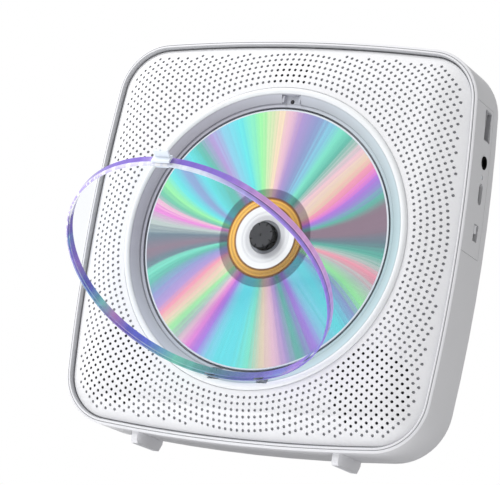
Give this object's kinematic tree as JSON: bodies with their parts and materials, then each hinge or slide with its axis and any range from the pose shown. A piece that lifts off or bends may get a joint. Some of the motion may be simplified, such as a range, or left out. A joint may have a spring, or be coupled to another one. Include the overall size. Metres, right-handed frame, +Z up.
{
  "type": "wall mounted disc player",
  "caption": "Square wall mounted disc player with a bowed perforated front, a round disc well, a clear swing-down lid, speakers and side sockets.",
  "frame": {"origin": "centre of the flat rear face that lies against the wall, on the disc's axis", "axes": "+Z up, +Y into the wall, +X to the viewer's right, so the perforated front faces -Y"},
  "size_m": [0.187, 0.1379, 0.1915],
  "materials": {
    "white_shell": "satin moulded plastic",
    "grille_white": "satin moulded plastic",
    "panel_white": "satin moulded plastic",
    "ring_white": "polished moulded plastic",
    "tray_grey": "satin moulded plastic",
    "clear_plastic": "clear polished acrylic",
    "lens_clear": "clear coated lens",
    "light_pipe": "clear light pipe",
    "disc_mirror": "clear plastic over a mirror layer",
    "hub_black": "satin moulded plastic",
    "hub_grey": "satin moulded plastic",
    "button_white": "satin moulded plastic",
    "black_plastic": "fine texture",
    "steel": "plated",
    "screw_steel": "zinc plated",
    "brass_screw": "turned",
    "black_rubber": "soft",
    "speaker_steel": "black paint",
    "paper_cone": "pressed paper",
    "ferrite": "sintered",
    "circuit_board": "solder mask",
    "capacitor_can": "sleeved"
  },
  "bodies": {
    "housing": {"rear_housing": "white_shell", "front_bezel": "white_shell", "left_foot": "white_shell", "right_foot": "white_shell", "front_grille": "grille_white", "port_panel": "panel_white", "well_ring": "ring_white", "latch_catch": "ring_white", "disc_tray": "tray_grey", "charge_light": "light_pipe", "battery_cradle": "black_plastic", "display_module": "black_plastic", "remote_sensor": "black_plastic", "audio_jack": "black_plastic", "board_chips": "black_plastic", "lid_switch": "black_plastic", "mech_chassis": "steel", "guide_rods": "steel", "spindle_motor": "steel", "sled_motor": "steel", "hinge_pins": "steel", "usb_a_port": "steel", "type_c_port": "steel", "power_switch": "steel", "tact_switches": "steel", "housing_screws": "screw_steel", "tray_screws": "screw_steel", "speaker_screws": "screw_steel", "board_screws": "screw_steel", "damper_screws": "screw_steel", "chassis_dampers": "black_rubber", "speaker_gasket_left": "black_rubber", "speaker_gasket_right": "black_rubber", "speaker_frame_left": "speaker_steel", "speaker_frame_right": "speaker_steel", "speaker_cone_left": "paper_cone", "speaker_cone_right": "paper_cone", "speaker_magnet_left": "ferrite", "speaker_magnet_right": "ferrite", "main_board": "circuit_board", "display_board": "circuit_board", "button_board": "circuit_board", "capacitors": "capacitor_can", "battery_cell": "capacitor_can"},
    "lid": {"lid": "clear_plastic", "lid_clip": "ring_white"},
    "spinner": {"disc": "disc_mirror", "turntable": "hub_grey", "clamp_hub": "hub_black", "spindle_shaft": "steel"},
    "pickup": {"pickup_sled": "black_plastic"},
    "lens": {"lens_holder": "black_plastic", "pickup_lens": "lens_clear"},
    "screw": {"lead_screw": "brass_screw"},
    "switch": {"switch_knob": "button_white"},
    "previous": {"previous_button": "button_white"},
    "play": {"play_button": "button_white"},
    "next": {"next_button": "button_white"},
    "volume_down": {"volume_down_button": "button_white"},
    "volume_up": {"volume_up_button": "button_white"}
  },
  "joints": [
    {"name": "lid_hinge", "type": "hinge", "parent": "housing", "child": "lid", "pos_m": [0, -0.031, -0.064], "axis": [1, 0, 0], "range_deg": [-55, 0]},
    {"name": "disc_spin", "type": "hinge", "parent": "housing", "child": "spinner", "pos_m": [0, -0.03, 0], "axis": [0, -1, 0], "continuous": true},
    {"name": "sled_slide", "type": "slide", "parent": "housing", "child": "pickup", "axis": [-1, 0, 0], "range_m": [0, 0.033]},
    {"name": "screw_turn", "type": "hinge", "parent": "housing", "child": "screw", "pos_m": [-0.04, -0.018, -0.027], "axis": [1, 0, 0], "range_deg": [-2, 3962]},
    {"name": "lens_focus", "type": "slide", "parent": "pickup", "child": "lens", "axis": [0, -1, 0], "range_m": [-0.0004, 0.0004], "stiffness_N_per_m": 60},
    {"name": "switch_slide", "type": "slide", "parent": "housing", "child": "switch", "axis": [0, 0, -1], "range_m": [0, 0.003]},
    {"name": "volume_down_press", "type": "slide", "parent": "housing", "child": "volume_down", "axis": [0, 0, -1], "range_m": [0, 0.0006], "stiffness_N_per_m": 400},
    {"name": "previous_press", "type": "slide", "parent": "housing", "child": "previous", "axis": [0, 0, -1], "range_m": [0, 0.0006], "stiffness_N_per_m": 400},
    {"name": "play_press", "type": "slide", "parent": "housing", "child": "play", "axis": [0, 0, -1], "range_m": [0, 0.0006], "stiffness_N_per_m": 400},
    {"name": "next_press", "type": "slide", "parent": "housing", "child": "next", "axis": [0, 0, -1], "range_m": [0, 0.0006], "stiffness_N_per_m": 400},
    {"name": "volume_up_press", "type": "slide", "parent": "housing", "child": "volume_up", "axis": [0, 0, -1], "range_m": [0, 0.0006], "stiffness_N_per_m": 400}
  ],
  "couplings": [
    {"joint": "screw_turn", "follows": "sled_slide", "rad_per_m": 2094.4}
  ]
}
